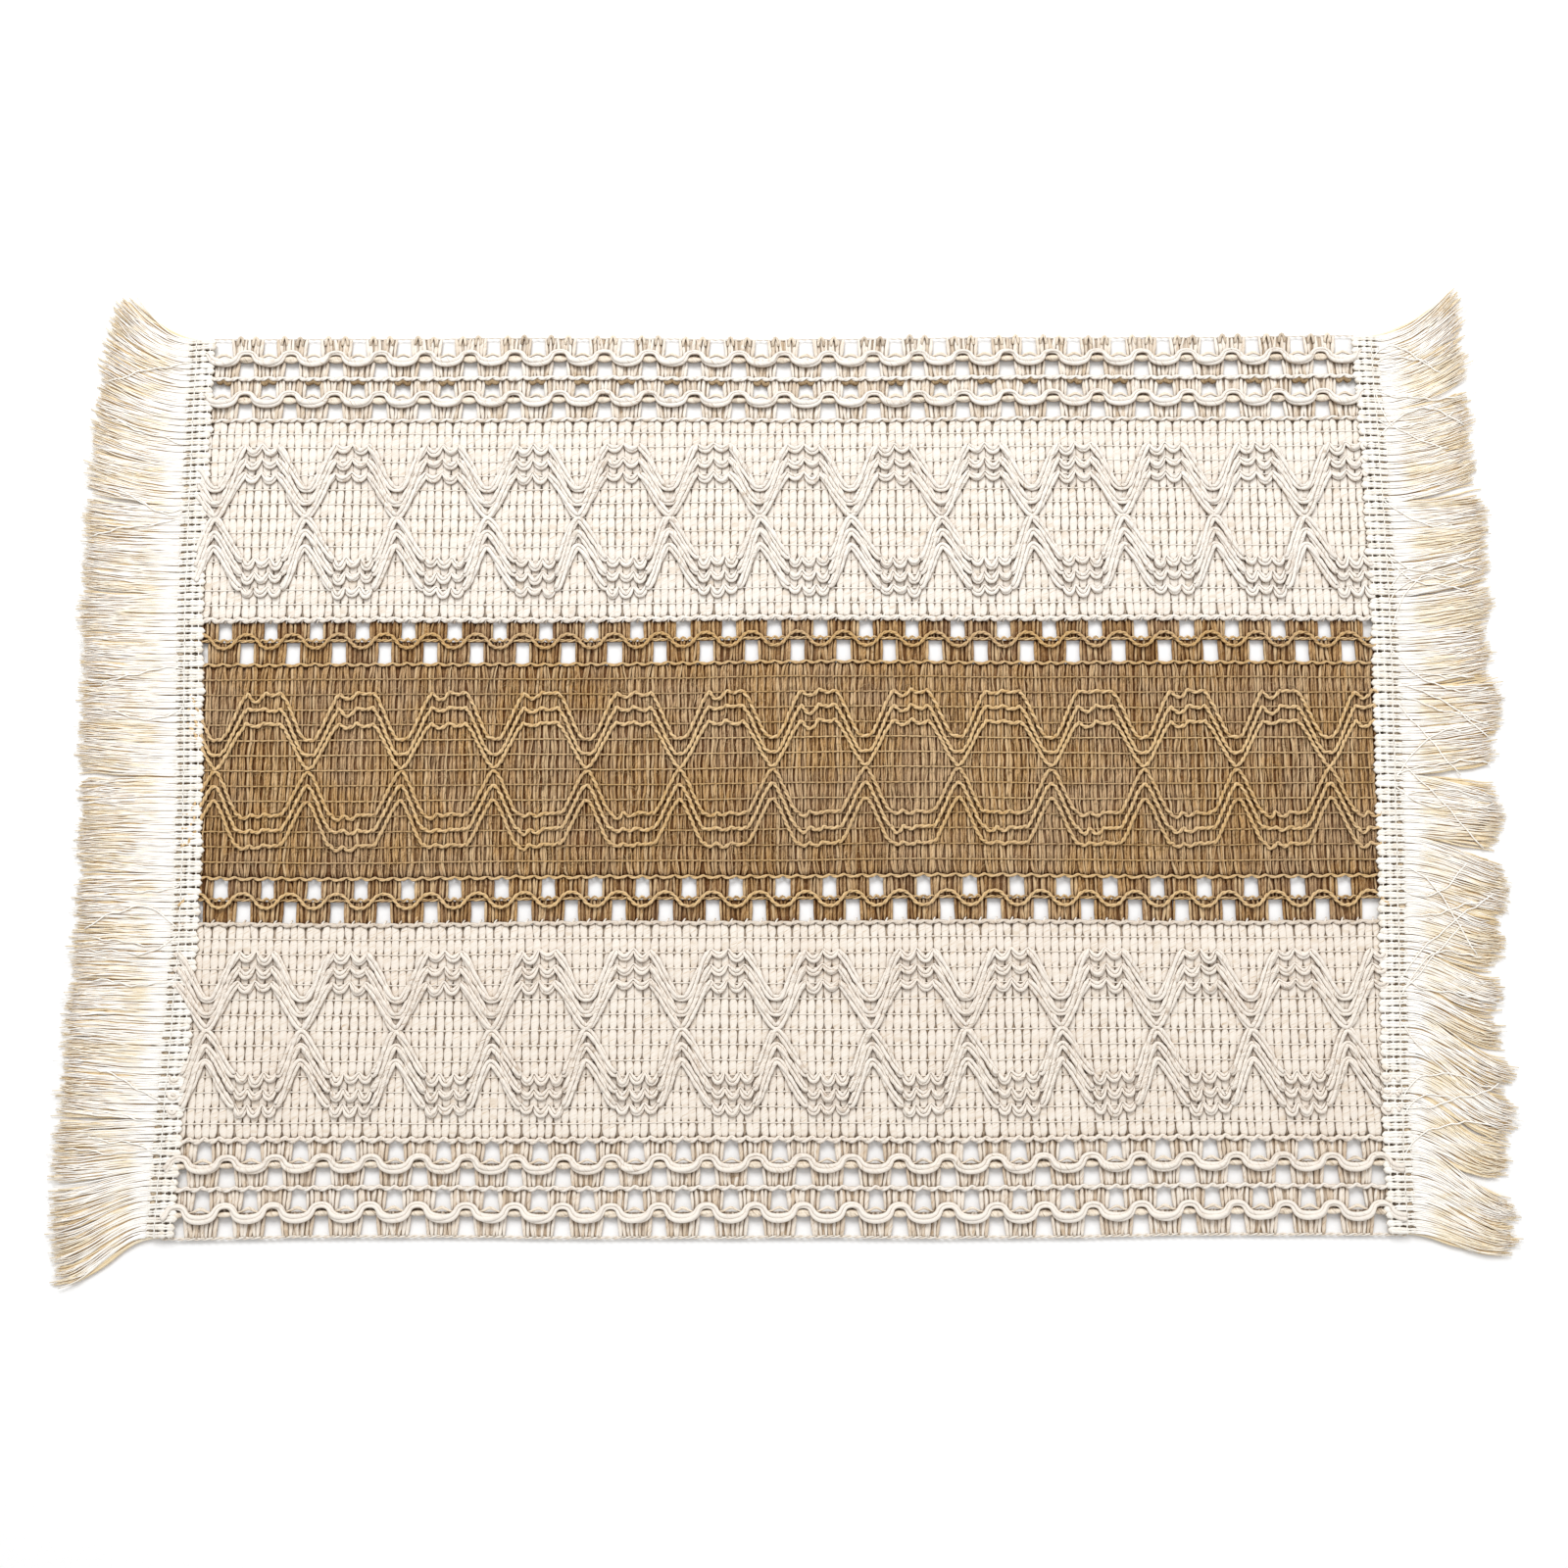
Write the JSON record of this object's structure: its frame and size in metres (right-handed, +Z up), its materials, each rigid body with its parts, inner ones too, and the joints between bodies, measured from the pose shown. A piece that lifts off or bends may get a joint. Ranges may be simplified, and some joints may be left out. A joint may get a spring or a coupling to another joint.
{
  "type": "table runner",
  "caption": "Flat openwork table runner of cotton and jute strips with hexagon cord bands, eyelet rows and fringed short ends.",
  "frame": {"origin": "centre of the underside, on the surface that it lies on", "axes": "+X along the runner's length towards the right fringe, +Y across it towards the upper cotton strip, +Z up out of the surface"},
  "size_m": [0.4596, 0.3224, 0.0037],
  "materials": {
    "cotton_weft": "matt, laid-in cotton ribs",
    "cotton_chain": "matt, thin cotton chain thread",
    "cotton_cord": "matt, soft plied cotton cord",
    "jute_weft": "matt, coarse jute fibre",
    "jute_chain": "matt, thin waxed thread",
    "jute_cord": "matt, hard twisted jute cord",
    "fringe_header": "matt, fat cotton loops",
    "fringe_strand": "soft, loose ivory cotton ends"
  },
  "bodies": {
    "root": {"upper_cotton_weft": "cotton_weft", "upper_cotton_chains": "cotton_chain", "upper_cotton_edge_chain": "cotton_chain", "upper_outer_scallop_cord": "cotton_cord", "upper_inner_scallop_cord": "cotton_cord", "upper_top_cord_1": "cotton_cord", "upper_top_cord_2": "cotton_cord", "upper_top_cord_3": "cotton_cord", "upper_low_cord_1": "cotton_cord", "upper_low_cord_2": "cotton_cord", "upper_low_cord_3": "cotton_cord", "lower_cotton_weft": "cotton_weft", "lower_cotton_chains": "cotton_chain", "lower_cotton_edge_chain": "cotton_chain", "lower_outer_scallop_cord": "cotton_cord", "lower_inner_scallop_cord": "cotton_cord", "lower_top_cord_1": "cotton_cord", "lower_top_cord_2": "cotton_cord", "lower_top_cord_3": "cotton_cord", "lower_low_cord_1": "cotton_cord", "lower_low_cord_2": "cotton_cord", "lower_low_cord_3": "cotton_cord", "jute_weft": "jute_weft", "jute_chains": "jute_chain", "jute_upper_wave_cord": "jute_cord", "jute_lower_wave_cord": "jute_cord", "jute_top_cord_1": "jute_cord", "jute_top_cord_2": "jute_cord", "jute_top_cord_3": "jute_cord", "jute_low_cord_1": "jute_cord", "jute_low_cord_2": "jute_cord", "jute_low_cord_3": "jute_cord", "upper_join_seam": "cotton_chain", "lower_join_seam": "cotton_chain", "left_header": "fringe_header", "left_header_stitching": "cotton_chain", "left_fringe_strands": "fringe_strand", "right_header": "fringe_header", "right_header_stitching": "cotton_chain", "right_fringe_strands": "fringe_strand"}
  },
  "joints": []
}
